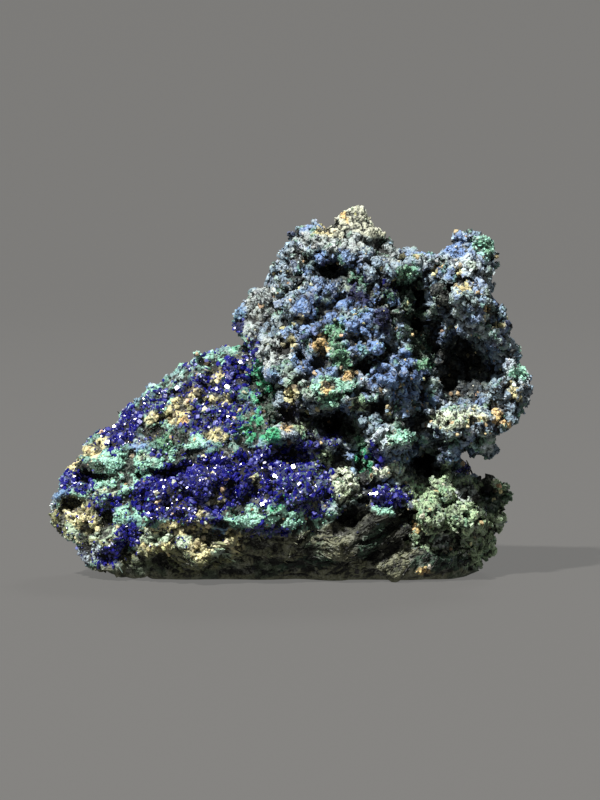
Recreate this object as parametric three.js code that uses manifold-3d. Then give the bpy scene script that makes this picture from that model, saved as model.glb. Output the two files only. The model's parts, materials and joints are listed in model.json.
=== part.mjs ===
// An azurite specimen: one palm-sized piece of copper ore that grew and broke as one solid.
// A wedge of limonite rock carries a slope of small azurite crystals on its left. A taller mass of
// knobbly blue ore stands on its right, with a pillar, hollows and ledges, and the broken underside
// is worn flat enough to stand on. Millimetres, +Z up, the crystal slope faces -Y.
import * as THREE from "three";
import { ConvexGeometry } from "three/addons/geometries/ConvexGeometry.js";
import { ImprovedNoise } from "three/addons/math/ImprovedNoise.js";
import { mergeVertices } from "three/addons/utils/BufferGeometryUtils.js";
import Module from "manifold-3d";

const farAway = 150; // clear of the stone on every side
const weldSize = 0.9; // corners of the joined forms that are closer than this become one
const roughStep = 4; // longest edge before the hollows are pressed in
const faceStep = 3.05; // longest edge on the finished face
const backStep = 7; // longest edge behind and under the stone
const faceDepth = [0, 8]; // where the face's fine edges give way to the back's
const underHeight = 2.5; // up to here the edges are long, because the break below is flat
const rockGrain = 5.5; // size of the bumps on broken rock
const rockRough = 1.1; // how far those bumps stand out
const backRow = 7; // spacing of the knobs on the back
const backEdge = 5; // no knob stands where the back curves round to less than this depth
const crystalLength = 3; // azurite prisms on the slope
const crystalWidth = 1.7;
const crystalSink = 0.35; // share of a crystal that is buried in the crust
const oreColour = 0x3f5378;
const oreRoughness = 0.75;

const { Manifold, Mesh: SolidMesh } = await Module().then((wasm) => {
  wasm.setup();
  return wasm;
});
const noise = new ImprovedNoise();

// The forms that the stone is joined from, each the hull of its outermost corners [x, y, z].
const forms = {
  crystalSlope: [
    [-34.6, -5, 12.4], [-34.2, -2, 14], [-30.4, 0, 19.8], [-25, 1, 24.4], [-20.5, 2, 28.4], [-14.5, 2, 31.8],
    [-12, 1, 33], [-7, 1, 34.8], [2, 0, 31], [-30, -7, 9], [-20, -13.5, 8.5], [-6, -15, 8.5], [6, -14, 10],
    [-33, 4, 9], [-28, 7, 15], [-20, 10, 23], [-10, 12, 28], [6, 14, 27], [9, -12, 12], [-2, -8, 26],
    [-24, -8, 4.2], [-30, -2, 4.4], [-19, -7, 0], [8, -8, -1], [-27, 4, 4.6], [-16, 9, -1], [8, 14, -1],
  ],
  crystalBelt: [
    [-20, -14.6, 9.4], [-12, -15.8, 9.4], [-4, -16.2, 10], [2, -14.6, 12.6], [1, -12.8, 17.4], [-6, -12.4, 18.4],
    [-14, -12, 17], [-20, -12.4, 13.4], [-18, -8, 10], [0, -8, 10], [-18, -7, 14], [0, -7, 18],
  ],
  greenTerrace: [
    [-32, -7.4, 16.4], [-31, -4.6, 19], [-25, -8.4, 19.6], [-15, -9.4, 20.4], [-14, -11.4, 18], [-24, -10.4, 16],
    [-30, -1, 16], [-15, -4, 18],
  ],
  leftToe: [
    [-36, -3, 11], [-34, -6, 12.5], [-34.5, -6, 8], [-31.5, -7, 4], [-26, -10, 4], [-25, -11.5, 10],
    [-33.5, 2, 12.5], [-34, 2, 9], [-30, -1, 3.2], [-25, 4, 3.4], [-25, 4, 14],
  ],
  brokenBase: [
    [0, -14.5, 9], [8, -13, 10], [19, -12, 10], [25, -10, 9], [28, -5, 7], [0, -7, -1], [24, -7, -1],
    [28, -1, 1], [27, 8, -1], [0, 14, -1], [4, -11, 18], [15, -9, 16], [26, -4, 13], [25, 8, 14], [0, 12, 18],
  ],
  rightFlap: [
    [23, -6, 13.6], [30, -4, 14.4], [32, -3, 13.2], [31.4, -2, 9.5], [30.2, -2, 5], [28, -1, 1], [25, 6, 1],
    [24, 5, 14], [30.4, 2, 13.6], [30, 4, 9], [28.6, 5, 3],
  ],
  upperMass: [
    [-8.8, -1, 38], [-4.4, 0, 41.6], [-2.4, -1, 46.8], [0.4, -2, 51.4], [2.6, -3, 53.2], [-7, -4, 35], [-5, -7, 30],
    [0, -10, 37], [8, -11.5, 36], [15, -10, 37], [2, -7, 47], [9, -7, 47.5], [4, -13, 27], [14, -13, 26],
    [16, -2, 47.6], [19, -7, 24], [-3, 9, 30], [-2, 8, 40], [3, 8, 47], [13, 8, 46.6], [19, 8, 40],
    [21, 10, 24], [0, 12, 22], [17, -5, 44],
  ],
  topTip: [
    [3, -4, 51.6], [5.5, -4, 51.6], [8.6, -2, 55.6], [10.2, -1, 55.4], [13, -1, 52.4], [15.6, -2, 49.4], [4, -5, 47],
    [12, -5, 46], [4, 4, 49], [9.6, 4, 51.6], [14, 3, 48],
  ],
  middleSkirt: [
    [-5, -10, 24], [-2, -11.5, 21], [3, -12, 20], [9, -13.5, 21.6], [16, -13, 21], [19, -11, 23.6], [18, -9, 19.4],
    [0, -9, 30], [10, -12, 31], [18, -8, 30], [2, -10, 17], [14, -8, 16], [0, 4, 28], [18, 4, 28], [0, 4, 14], [18, 4, 14],
  ],
  saddle: [
    [13, -4, 49], [21, -3, 48.4], [24, -3, 48.4], [13, -6, 42], [24, -5, 42], [13, 7, 46], [24, 6, 46],
    [13, -3, 26], [24, -3, 26], [13, 9, 26], [24, 9, 26],
  ],
  pillarHead: [
    [23, -4, 47.6], [24, -4, 50], [27, -4, 50.6], [29.8, -3, 49.6], [31, -3, 47], [29.8, -4, 43], [22, -7.5, 44],
    [26, -8, 44], [21, -7, 38], [28.4, -7, 38], [24, 4, 47.6], [28.6, 4, 46.6], [29, 6, 38], [20, 8, 38],
  ],
  rightRim: [
    [29.8, -3, 41], [31.8, -3, 37.2], [33.2, -3, 32.8], [35.8, -3, 29.2], [35.8, -4, 27.6], [34.6, -5, 24.4],
    [32, -7, 22.6], [29, -7, 36.6], [31, -8, 28], [21, -3, 40], [20, 0, 22], [29, 6, 40], [32.6, 6, 30], [31, 7, 24],
    [21, 10, 24], [20, 9, 40],
  ],
  lowerLedge: [
    [18, -7, 25], [21, -11, 25.6], [26, -11.5, 25], [30, -10, 24], [33, -6, 24], [31.6, -6, 22.4], [29.6, -6, 20.8],
    [27.4, -6, 18.6], [24.6, -6, 17], [19.6, -5, 18.4], [24, -10, 19.6], [19, 7, 24], [31, 5, 23.4], [21, 6, 17],
    [28.5, 3, 19.6],
  ],
  cornerNeck: [
    [14, -6, 20], [23, -4, 20], [14, -7, 12], [23, -5, 12], [14, 11, 22], [24, 8, 21], [14, 12, 10], [25, 8, 10],
  ],
};

// Hollows pressed into the face: [x, z, [half width, depth, half height]].
const hollows = {
  windowUnderKnob: [5.6, 46.6, [2.6, 4, 1.7]],
  shoulderFold: [-1.4, 44.6, [2.4, 1.6, 1.1]],
  pillarGroove: [18, 40.6, [2.3, 6, 6.4]],
  pillarGrooveFoot: [20, 34.4, [2.4, 6, 4.8]],
  pillarCave: [26.6, 31, [4.6, 8, 4.6]],
  skirtCave: [6.4, 23, [4.2, 7, 2.6]],
  skirtHole: [18.6, 25.6, [1.9, 5, 2]],
  slopeCorner: [0, 18.8, [3, 4.6, 1.8]],
  ledgeGap: [20.4, 17, [4, 6, 2.6]],
  notchMouth: [24.6, 16, [3, 5, 1.7]],
  greenHollow: [-19.4, 22.4, [2.5, 2.6, 1.4]],
  toeHollow: [-27.6, 10.2, [2.3, 2.6, 1.3]],
  toeGroove: [-32, 11.4, [1.6, 1.6, 1]],
  seamHollow: [-5.4, 27.6, [1.5, 2.4, 3.4]],
  fanPit: [9, 18.6, [2, 2.6, 1.6]],
  lobePit: [17, 8.6, [1.6, 2.2, 3]],
  flapCleft: [28.6, 12, [1.4, 2.6, 3.4]],
  ribGroove: [12.4, 4, [1.4, 1.8, 3.6]],
};

// Knobs raised in the face: [x, z, radius or radii, share that stands out].
const faceKnobs = [
  [-32.4, 14.2, [2, 1.4, 1.5]], [-29.4, 17.4, [2.5, 1.4, 1.5]], [-25.4, 20.6, [2.8, 1.5, 1.6]],
  [-28.4, 14, [2.8, 1.5, 1.4]], [-23, 16.8, [2.8, 1.5, 1.5]], [-18.4, 17.8, [3, 1.7, 1.7]],
  [-15.6, 21.4, [2.6, 1.5, 1.6]], [-21.4, 25.2, [2.4, 1.5, 1.6]], [-11.4, 21, [2.8, 1.4, 1.4]],
  [-16.2, 26, [2.6, 1.4, 1.7]], [-11, 29, [2.6, 1.4, 1.8]], [-7.4, 32.6, [2.2, 1.8, 2]],
  [-8.8, 24.4, [2.4, 1.4, 1.7]], [-4.6, 23.6, [2.2, 2.2, 2.2]], [-12.6, 17.2, [3, 1.8, 1.8]],
  [-6.6, 18, [2.8, 1.8, 1.7]], [-16.8, 13, [3, 1.8, 1.7]], [-10.6, 13.4, [3, 1.8, 1.6]],
  [-5, 14, [2.6, 1.8, 1.6]], [-21.8, 11, [2.6, 1.6, 1.6]], [-15, 9.4, [3, 1.7, 1.4]],
  [-8.8, 9.4, [2.8, 1.8, 1.5]], [-3, 9.8, [2.6, 2, 1.7]], [2, 11, [2.4, 1.8, 1.7]], [-12.8, 5, [3.4, 1.8, 1.8]],
  [-30.8, 8, 2.1], [-27, 6, [2.4, 1.7, 1.8]], [-33.8, 9.6, [1.8, 1.6, 1.6]], [-20.6, 5, [3.2, 2, 1.9]],
  [-4, 4.4, [3.6, 2.2, 2.4]], [2.6, 5, [2.8, 2.4, 3.4]], [8.6, 6, [2.6, 2.2, 3.8]], [15, 4.6, [2, 2.2, 3.6]],
  [20.4, 3.2, [3, 2, 2]], [19.8, 12, 3, 0.65], [24.6, 12, 2.8, 0.7], [20.4, 8, 2.4], [24.4, 7.6, 2.6, 0.6],
  [26.6, 4.2, 2.2], [4.4, 17.6, 2.4, 0.7], [6.8, 13.4, 2.8, 0.7], [11.6, 16.6, 2.4, 0.7], [14.6, 12.6, 2.4, 0.6],
  [11, 11.2, 2], [-5.6, 37.6, 2.3], [-2.8, 34, 3.2, 0.7], [-3.2, 40.6, 2.3], [0.6, 38.8, 2.3], [0.4, 43, 2.2],
  [0.6, 47.4, 2.5], [3.6, 42.4, 2.3], [4.6, 49.6, 2.5, 0.9], [9.4, 50.4, 2.3], [12.4, 48.2, 2.2], [9.4, 45.4, 2.3],
  [7.4, 41.6, 2.2], [4.6, 38.2, 2.2], [13.4, 44.8, 2.3, 0.6], [12, 39.6, 3.2, 0.75], [11.8, 34.6, 2.9, 0.65],
  [7.4, 37, 2.3, 0.6], [7.6, 32.6, 2.4, 0.6], [3.2, 33.4, 2.5], [15.2, 35.6, 2], [2.6, 29.2, 2.5], [-1, 28.4, 2.3],
  [7, 28.4, 2.4], [11.4, 29, 2.5, 0.6], [15.4, 31, 2.8, 0.65], [17.6, 28, 2.2], [1, 24.4, 2.2, 0.7],
  [11.8, 24.6, 2.4, 0.65], [15.4, 24, 2.8, 0.7], [17.4, 45.6, 2], [21.4, 45.4, 2.2], [25.6, 47.8, 2.6, 0.6],
  [28.8, 47, 2.3], [25.2, 43.2, 2.5, 0.6], [28, 40.6, 2.4], [22.8, 40.4, 2.3], [25, 38, 2.6, 0.65], [29.4, 37, 2.4],
  [31.8, 32, 2.6], [33, 27.6, 2.8, 0.6], [30.4, 24.6, 2.6], [22.4, 25, 2.5, 0.6], [26.2, 24.6, 2.7, 0.65],
  [23, 21, 2.5], [27, 20.8, 2.4],
];

// Crystals along the blue belts of the slope: [x, z, crystals in the spray].
const crystalSprays = [
  [-25.6, 22.2, 2], [-21, 26.6, 2], [-17, 28.6, 2], [-12.6, 30.6, 2], [-8.6, 31.4, 2], [-13.2, 27, 2],
  [-9, 27, 2], [-12, 23.6, 2], [-8, 21.4, 2], [-11.4, 18.6, 2], [-6.2, 17.4, 3], [-16, 15.6, 2], [-10, 15.2, 3],
  [-3.6, 16.4, 2], [-19, 12.8, 2], [-13.8, 12, 3], [-7, 13.4, 3], [-1.6, 13.2, 2], [-18.4, 9.4, 2],
  [-11.6, 9.4, 2], [-5, 8.6, 2], [-31.6, 15, 2], [2.4, 15.2, 2], [13.6, 13.4, 2],
];

// Repeatable numbers from 0 to 1, so that every build gives the same stone.
function seededRandom(seed) {
  let state = seed;
  return () => {
    state = (state * 1664525 + 1013904223) % 4294967296;
    return state / 4294967296;
  };
}

// Two octaves of noise at a point, from about -1 to 1.
function roughAt(x, y, z) {
  return noise.noise(x, y, z) + 0.5 * noise.noise(2.1 * x + 7, 2.1 * y, 2.1 * z - 3);
}

// Moves every point of a shape by a rule that depends on the place alone, so shared edges stay shut.
function movePoints(geometry, rule) {
  const place = geometry.getAttribute("position");
  const point = new THREE.Vector3();
  for (let i = 0; i < place.count; i++) {
    rule(point.fromBufferAttribute(place, i));
    place.setXYZ(i, point.x, point.y, point.z);
  }
  return geometry;
}

function roughen(geometry) {
  return movePoints(geometry, (p) => {
    const q = p.clone().divideScalar(rockGrain);
    p.x += rockRough * roughAt(q.x, q.y, q.z + 11);
    p.y += rockRough * roughAt(q.x + 23, q.y, q.z);
    p.z += rockRough * roughAt(q.x, q.y + 37, q.z);
  });
}

// Halves every edge that is longer than its place wants. Both faces on an edge come to the same halves.
function splitEdges(geometry, stepAt) {
  const loose = geometry.index ? geometry.toNonIndexed() : geometry;
  const place = loose.getAttribute("position");
  const point = (i) => new THREE.Vector3().fromBufferAttribute(place, i);
  const waiting = [];
  for (let i = 0; i < place.count; i += 3) waiting.push([point(i), point(i + 1), point(i + 2)]);
  const done = [];
  while (waiting.length) {
    const corners = waiting.pop();
    const excess = corners.map((p, i) => {
      const next = corners[(i + 1) % 3];
      return p.distanceTo(next) / stepAt(p.clone().lerp(next, 0.5));
    });
    const worst = excess.indexOf(Math.max(...excess));
    if (excess[worst] <= 1) {
      done.push(...corners);
      continue;
    }
    const [p, q, r] = [0, 1, 2].map((i) => corners[(worst + i) % 3]);
    const middle = p.clone().lerp(q, 0.5);
    waiting.push([p, middle, r], [middle, q, r]);
  }
  return new THREE.BufferGeometry().setFromPoints(done);
}

// Fine on the face that shows most, plain behind and under the stone.
function finishedStep(point) {
  const behind = THREE.MathUtils.smoothstep(point.y, faceDepth[0], faceDepth[1]);
  const under = 1 - THREE.MathUtils.smoothstep(point.z, 0, underHeight);
  return faceStep + (backStep - faceStep) * Math.max(behind, under);
}

// A closed three.js shape as a solid that can be joined and cut.
function solidOf(geometry) {
  const bare = new THREE.BufferGeometry();
  const loose = geometry.index ? geometry.toNonIndexed() : geometry;
  bare.setAttribute("position", loose.getAttribute("position").clone());
  const merged = mergeVertices(bare, 1e-4);
  return new Manifold(
    new SolidMesh({
      numProp: 3,
      vertProperties: merged.getAttribute("position").array,
      triVerts: new Uint32Array(merged.index.array),
    }),
  );
}

// A solid as a three.js shape.
function geometryOf(solid) {
  const mesh = solid.getMesh();
  const geometry = new THREE.BufferGeometry();
  geometry.setAttribute("position", new THREE.BufferAttribute(new Float32Array(mesh.vertProperties), 3));
  geometry.setIndex(new THREE.BufferAttribute(new Uint32Array(mesh.triVerts), 1));
  geometry.computeVertexNormals();
  return geometry;
}

// Closes up the slivers where forms cross, which would take many faces and show nothing.
function welded(geometry) {
  const bare = new THREE.BufferGeometry().setAttribute("position", geometry.toNonIndexed().getAttribute("position"));
  const merged = mergeVertices(bare, weldSize);
  const corners = merged.index.array;
  const kept = [];
  for (let i = 0; i < corners.length; i += 3) {
    const [a, b, c] = corners.slice(i, i + 3);
    if (a !== b && b !== c && c !== a) kept.push(a, b, c);
  }
  return merged.setIndex(kept);
}

function joined(solids) {
  return solids.reduce((whole, next) => whole.add(next));
}

// Where a line along Y, coming from the front (-1) or the back (1), first meets a shape.
function surfaceAt(geometry, x, z, side) {
  const target = new THREE.Mesh(geometry, new THREE.MeshBasicMaterial({ side: THREE.DoubleSide }));
  const start = new THREE.Vector3(x, side * farAway, z);
  const hits = new THREE.Raycaster(start, new THREE.Vector3(0, -side, 0)).intersectObject(target);
  return hits.length ? hits[0].point.y : null;
}

// Pushes the face back to the floor of each hollow.
function pressHollows(geometry) {
  const pressed = Object.values(hollows).map(([x, z, [width, depth, height]]) => {
    return { x, z, width, depth, height, face: surfaceAt(geometry, x, z, -1) };
  });
  return movePoints(geometry, (p) => {
    for (const { x, z, width, depth, height, face } of pressed) {
      const inside = 1 - ((p.x - x) / width) ** 2 - ((p.z - z) / height) ** 2;
      if (inside > 0) p.y = Math.max(p.y, face + depth * Math.sqrt(inside));
    }
  });
}

// Pushes the skin out to the balls of its knobs, which need no faces of their own.
function raiseKnobs(geometry, knobs) {
  return movePoints(geometry, (p) => {
    for (const { centre, radii } of knobs) {
      const q = p.clone().sub(centre).divide(radii);
      const away = q.length();
      if (away < 1 && away > 0) p.copy(q.divideScalar(away).multiply(radii).add(centre));
    }
  });
}

function frontKnobs(geometry) {
  return faceKnobs.map(([x, z, radius, proud = 0.55]) => {
    const radii = Array.isArray(radius) ? new THREE.Vector3(...radius) : new THREE.Vector3().setScalar(radius);
    const face = surfaceAt(geometry, x, z, -1) ?? 0;
    return { centre: new THREE.Vector3(x, face + radii.y * (1 - 2 * proud), z), radii };
  });
}

// The side that the photograph hides has rounder, sparser knobs in rows, shifted at random.
function backKnobs(geometry) {
  const random = seededRandom(7);
  geometry.computeBoundingBox();
  const { min, max } = geometry.boundingBox;
  const knobs = [];
  for (let z = min.z + backRow; z < max.z; z += backRow) {
    for (let x = min.x + backRow / 2; x < max.x; x += backRow) {
      const [u, v] = [x + 0.5 * backRow * (random() - 0.5), z + 0.5 * backRow * (random() - 0.5)];
      const radius = backRow * (0.5 + 0.25 * random());
      const face = surfaceAt(geometry, u, v, 1);
      const centre = new THREE.Vector3(u, face - 0.1 * radius, v);
      const onBack = face !== null && face > backEdge && v > radius;
      if (onBack) knobs.push({ centre, radii: new THREE.Vector3(radius, 0.7 * radius, radius) });
    }
  }
  return knobs;
}

// The stone before its crystals: the joined forms with their hollows, bumps and knobs.
function rockSolid() {
  const whole = joined(Object.values(forms).map((corners) => {
    return solidOf(new ConvexGeometry(corners.map((c) => new THREE.Vector3(...c))));
  }));
  const skin = pressHollows(splitEdges(welded(geometryOf(whole)), () => roughStep));
  const fine = roughen(splitEdges(skin, finishedStep));
  return solidOf(raiseKnobs(fine, [...frontKnobs(fine), ...backKnobs(fine)]));
}

// One azurite crystal: a six-sided prism with a slanting roof, standing on the origin along +Z.
function crystalGeometry(length, width) {
  const corners = [];
  for (const [x, y] of [[-1, 0], [-0.6, -0.42], [0.6, -0.42], [1, 0], [0.6, 0.42], [-0.6, 0.42]]) {
    corners.push(new THREE.Vector3((x * width) / 2, (y * width) / 2, 0));
    corners.push(new THREE.Vector3((x * width) / 2, (y * width) / 2, length * (0.78 + 0.1 * x)));
  }
  corners.push(new THREE.Vector3(-0.15 * width, 0, length), new THREE.Vector3(0.3 * width, 0, length));
  return new ConvexGeometry(corners);
}

function crystalsOn(stone) {
  const target = geometryOf(stone);
  const random = seededRandom(3);
  const goldenTurn = 2.4; // radians between neighbours in a spray
  const crystals = [];
  for (const [x, z, count] of crystalSprays) {
    for (let i = 0; i < count; i++) {
      const away = crystalWidth * Math.sqrt(i);
      const [u, v] = [x + away * Math.cos(goldenTurn * i + x), z + away * Math.sin(goldenTurn * i + x)];
      const size = 0.7 + 0.5 * random();
      const crystal = crystalGeometry(crystalLength * size, crystalWidth * size);
      crystal.translate(0, 0, -crystalSink * crystalLength * size);
      crystal.rotateZ(Math.PI * random());
      crystal.rotateX(Math.PI * (0.22 + 0.22 * random()));
      crystal.rotateY(Math.PI * 0.3 * (random() - 0.5));
      const face = surfaceAt(target, u, v, -1);
      if (face !== null) crystals.push(solidOf(crystal.translate(u, face, v)));
    }
  }
  return crystals;
}

// Everything below the level break that the stone stands on.
function groundSolid() {
  const ground = new THREE.BoxGeometry(2 * farAway, 2 * farAway, farAway);
  return solidOf(ground.translate(0, 0, -farAway / 2));
}

function specimenMesh() {
  const rock = rockSolid();
  const stone = joined([rock, ...crystalsOn(rock)]).subtract(groundSolid());
  const [largest] = stone.decompose().sort((a, b) => b.volume() - a.volume());
  const geometry = geometryOf(largest);
  geometry.computeBoundingBox();
  const middle = geometry.boundingBox.getCenter(new THREE.Vector3());
  geometry.translate(-middle.x, -middle.y, 0);
  const ore = new THREE.MeshStandardMaterial({ color: oreColour, roughness: oreRoughness, metalness: 0 });
  const mesh = new THREE.Mesh(geometry, ore);
  mesh.name = "azurite_specimen";
  return mesh;
}

const specimen = new THREE.Group();
specimen.add(specimenMesh());
export default specimen;
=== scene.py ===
# The looks of an azurite specimen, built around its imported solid.
# Metres, +Z up, the crystal slope faces -Y. Places on the face are in millimetres as the camera sees them:
# x from the middle of the stone, and height over the line that it stands on.
import json
import math

import bpy
import numpy as np
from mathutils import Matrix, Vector

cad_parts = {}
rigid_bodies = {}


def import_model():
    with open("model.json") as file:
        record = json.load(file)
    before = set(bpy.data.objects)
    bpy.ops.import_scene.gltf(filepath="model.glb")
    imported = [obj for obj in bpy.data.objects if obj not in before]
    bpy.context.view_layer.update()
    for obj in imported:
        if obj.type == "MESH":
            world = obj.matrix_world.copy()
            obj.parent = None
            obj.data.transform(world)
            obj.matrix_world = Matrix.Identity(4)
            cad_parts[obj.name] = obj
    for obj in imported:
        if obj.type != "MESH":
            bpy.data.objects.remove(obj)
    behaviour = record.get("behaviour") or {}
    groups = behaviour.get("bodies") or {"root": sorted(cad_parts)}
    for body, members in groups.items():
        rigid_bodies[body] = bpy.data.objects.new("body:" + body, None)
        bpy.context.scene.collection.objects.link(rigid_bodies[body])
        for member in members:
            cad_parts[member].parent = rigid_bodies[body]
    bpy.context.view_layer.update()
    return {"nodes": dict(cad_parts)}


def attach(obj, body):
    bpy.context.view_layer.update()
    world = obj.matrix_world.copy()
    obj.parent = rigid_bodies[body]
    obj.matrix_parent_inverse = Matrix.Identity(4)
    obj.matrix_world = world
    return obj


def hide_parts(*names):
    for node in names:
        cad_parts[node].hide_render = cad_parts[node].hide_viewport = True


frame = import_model()
stoneNode = frame["nodes"]["azurite_specimen"]
mm = 0.001
print("frame loaded")


def pickOnly(obj):
    bpy.ops.object.select_all(action="DESELECT")
    obj.select_set(True)
    bpy.context.view_layer.objects.active = obj


def applyAll(obj):
    pickOnly(obj)
    for name in [m.name for m in obj.modifiers]:
        bpy.ops.object.modifier_apply(modifier=name)


def tone(code):  # a hex colour as linear red, green and blue
    parts = [int(code[i:i + 2], 16) / 255 for i in (0, 2, 4)]
    return tuple(c / 12.92 if c < 0.04045 else ((c + 0.055) / 1.055) ** 2.4 for c in parts)


# Camera, floor and light

cameraView = {"distance": 450, "elevation": 4.0, "lens": 136.5, "aim": (1.19, 0.0, 25.96), "aimHeight": 26.85}


def addCamera():
    lean = math.radians(cameraView["elevation"])
    aim = Vector(cameraView["aim"]) * mm
    away = Vector((0, -math.cos(lean), math.sin(lean))) * cameraView["distance"] * mm
    bpy.ops.object.camera_add(location=aim + away, rotation=(math.pi / 2 - lean, 0, 0))
    camera = bpy.context.object
    camera.data.lens = cameraView["lens"]
    camera.data.sensor_width = 36
    camera.data.clip_start = 0.01
    bpy.context.scene.camera = camera
    return away.normalized()


def seenFromCamera(points):  # metres to x and height as the camera sees them
    lean = math.radians(cameraView["elevation"])
    q = points / mm - np.array(cameraView["aim"])
    depth = cameraView["distance"] + q[:, 1] * math.cos(lean) - q[:, 2] * math.sin(lean)
    nearer = cameraView["distance"] / depth
    x = cameraView["aim"][0] + q[:, 0] * nearer
    height = cameraView["aimHeight"] + (q[:, 2] * math.cos(lean) + q[:, 1] * math.sin(lean)) * nearer
    return x, height


studio = {
    "floorRadius": 0.9, "bend": 0.5, "bendSteps": 8, "wallHeight": 0.9,
    "floorTone": "2e2d2c", "floorGlow": 0.16, "glowTone": (1.0, 0.99, 0.955, 1), "aim": (0, 0, 0.027),
    "key": {"place": (-0.66, -0.94, 1.62), "size": 0.11, "power": 80.0, "tone": (1.0, 0.98, 0.94)},
    "back": {"place": (0.55, 1.2, 1.3), "size": 0.5, "power": 16.0, "tone": (1.0, 1.0, 1.0)},
    "world": 0.05, "worldTone": (0.95, 0.97, 1.0, 1),
}


def addFloor():
    radius, bend = studio["floorRadius"], studio["bend"]
    bpy.ops.mesh.primitive_circle_add(vertices=96, radius=radius, fill_type="NGON")
    floor = bpy.context.object
    floor.name = "studio_floor"
    bpy.ops.object.mode_set(mode="EDIT")
    bpy.ops.mesh.select_all(action="DESELECT")
    bpy.ops.mesh.select_non_manifold()
    steps = studio["bendSteps"]
    for i in range(steps):
        low, high = (math.pi / 2 * k / steps for k in (i, i + 1))
        rise = bend * (math.cos(low) - math.cos(high))
        out = (radius + bend * math.sin(high)) / (radius + bend * math.sin(low))
        bpy.ops.mesh.extrude_edges_move(TRANSFORM_OT_translate={"value": (0, 0, rise)})
        bpy.ops.transform.resize(value=(out, out, 1), center_override=(0, 0, 0))
    bpy.ops.mesh.extrude_edges_move(TRANSFORM_OT_translate={"value": (0, 0, studio["wallHeight"])})
    bpy.ops.mesh.select_all(action="SELECT")
    bpy.ops.mesh.normals_make_consistent(inside=True)
    bpy.ops.object.mode_set(mode="OBJECT")
    bpy.ops.object.shade_smooth()
    paper = bpy.data.materials.new("studio_paper")
    paper.use_nodes = True
    shader = paper.node_tree.nodes["Principled BSDF"]
    for socket, value in (("Base Color", (*tone(studio["floorTone"]), 1)), ("Roughness", 1.0),
                          ("Specular IOR Level", 0.1), ("Emission Color", studio["glowTone"]),
                          ("Emission Strength", studio["floorGlow"])):
        shader.inputs[socket].default_value = value
    floor.data.materials.append(paper)


def addLight(name):
    light = studio[name]
    place = Vector(light["place"])
    turn = (Vector(studio["aim"]) - place).to_track_quat("-Z", "Y").to_euler()
    bpy.ops.object.light_add(type="AREA", location=place, rotation=turn)
    lamp = bpy.context.object
    lamp.name = name + "_light"
    lamp.data.shape = "DISK"
    lamp.data.size = light["size"]
    lamp.data.energy = light["power"]
    lamp.data.color = light["tone"]
    return place.normalized()


toCamera = addCamera()
addFloor()
toKey = addLight("key")
addLight("back")
world = bpy.data.worlds.new("studio_world")
world.use_nodes = True
world.node_tree.nodes["Background"].inputs["Color"].default_value = studio["worldTone"]
world.node_tree.nodes["Background"].inputs["Strength"].default_value = studio["world"]
bpy.context.scene.world = world
bpy.context.scene.view_settings.view_transform = "Standard"
print("camera, floor and lights")


# Patterns in space, for shapes and for the borders between minerals

mixing = (374761393, 668265263, 2147483647, 974711, 1274126177)  # large numbers that scramble a place
neighbours = [np.array([i % 3 - 1, (i // 3) % 3 - 1, i // 9 - 1]) for i in range(27)]  # a cell and all round it
knobFall = 1.3  # how steeply round knobs fall away
crack = {"lift": 0.3, "depth": 0.85, "width": (0.02, 0.22)}  # between broken blocks


def hashed(corner, seed):  # a number from 0 to 1 for each whole place
    mixed = sum(corner[..., k] * mixing[k] for k in range(3)) + seed * mixing[3]
    mixed = (mixed ^ (mixed >> 13)) * mixing[4]
    mixed = (mixed ^ (mixed >> 16)) & 0xFFFFFF
    return mixed / 0xFFFFFF


def jumbled(cell, seed):  # three such numbers for each cell
    return np.stack([hashed(cell, seed + k) for k in range(3)], axis=1)


def softNoise(points, size, seed):  # smooth, -1 to 1, with bumps of that size in mm
    q = points / (size * mm)
    base = np.floor(q).astype(np.int64)
    t = q - base
    t = t * t * (3 - 2 * t)
    total = np.zeros(len(points))
    for i in range(8):
        step = np.array([i & 1, (i >> 1) & 1, i >> 2])
        share = np.prod(np.where(step, t, 1 - t), axis=1)
        total += share * hashed(base + step, seed)
    return 2 * total - 1


def domes(points, size, seed):  # round knobs packed side by side, 1 on their tops and 0 in the gaps
    q = points / (size * mm)
    base = np.floor(q).astype(np.int64)
    nearest = np.full(len(points), 9.0)
    for step in neighbours:
        cell = base + step
        knob = cell + jumbled(cell, seed)
        nearest = np.minimum(nearest, ((knob - q) ** 2).sum(axis=1))
    return np.clip(1 - nearest * knobFall, 0, 1)


def smooth(value, low, high):
    t = np.clip((value - low) / (high - low), 0, 1)
    return t * t * (3 - 2 * t)


def chunks(points, size, seed):  # broken blocks, each with a slant of its own, and cracks between them
    q = points / (size * mm)
    base = np.floor(q).astype(np.int64)
    nearest, second = np.full(len(points), 9.0), np.full(len(points), 9.0)
    slanted = np.zeros(len(points))
    for step in neighbours:
        cell = base + step
        away = q - cell - jumbled(cell, seed)
        far = np.sqrt((away ** 2).sum(axis=1))
        slant = jumbled(cell, seed + 3) * 2 - 1
        closer = far < nearest
        second = np.where(closer, nearest, np.minimum(second, far))
        slanted = np.where(closer, 0.5 * hashed(cell, seed + 6) + (away * slant).sum(axis=1), slanted)
        nearest = np.where(closer, far, nearest)
    cracked = 1 - smooth(second - nearest, *crack["width"])
    return np.clip(slanted + crack["lift"], 0, 1) - crack["depth"] * cracked


def warp(points, size, amount, seed):  # points moved about, so that patterns on them turn ragged
    return points + np.stack([softNoise(points, size, seed + k) for k in range(3)], axis=1) * amount * mm


# Minerals on the face: middle x, height, half width, half height, turn in degrees

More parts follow.
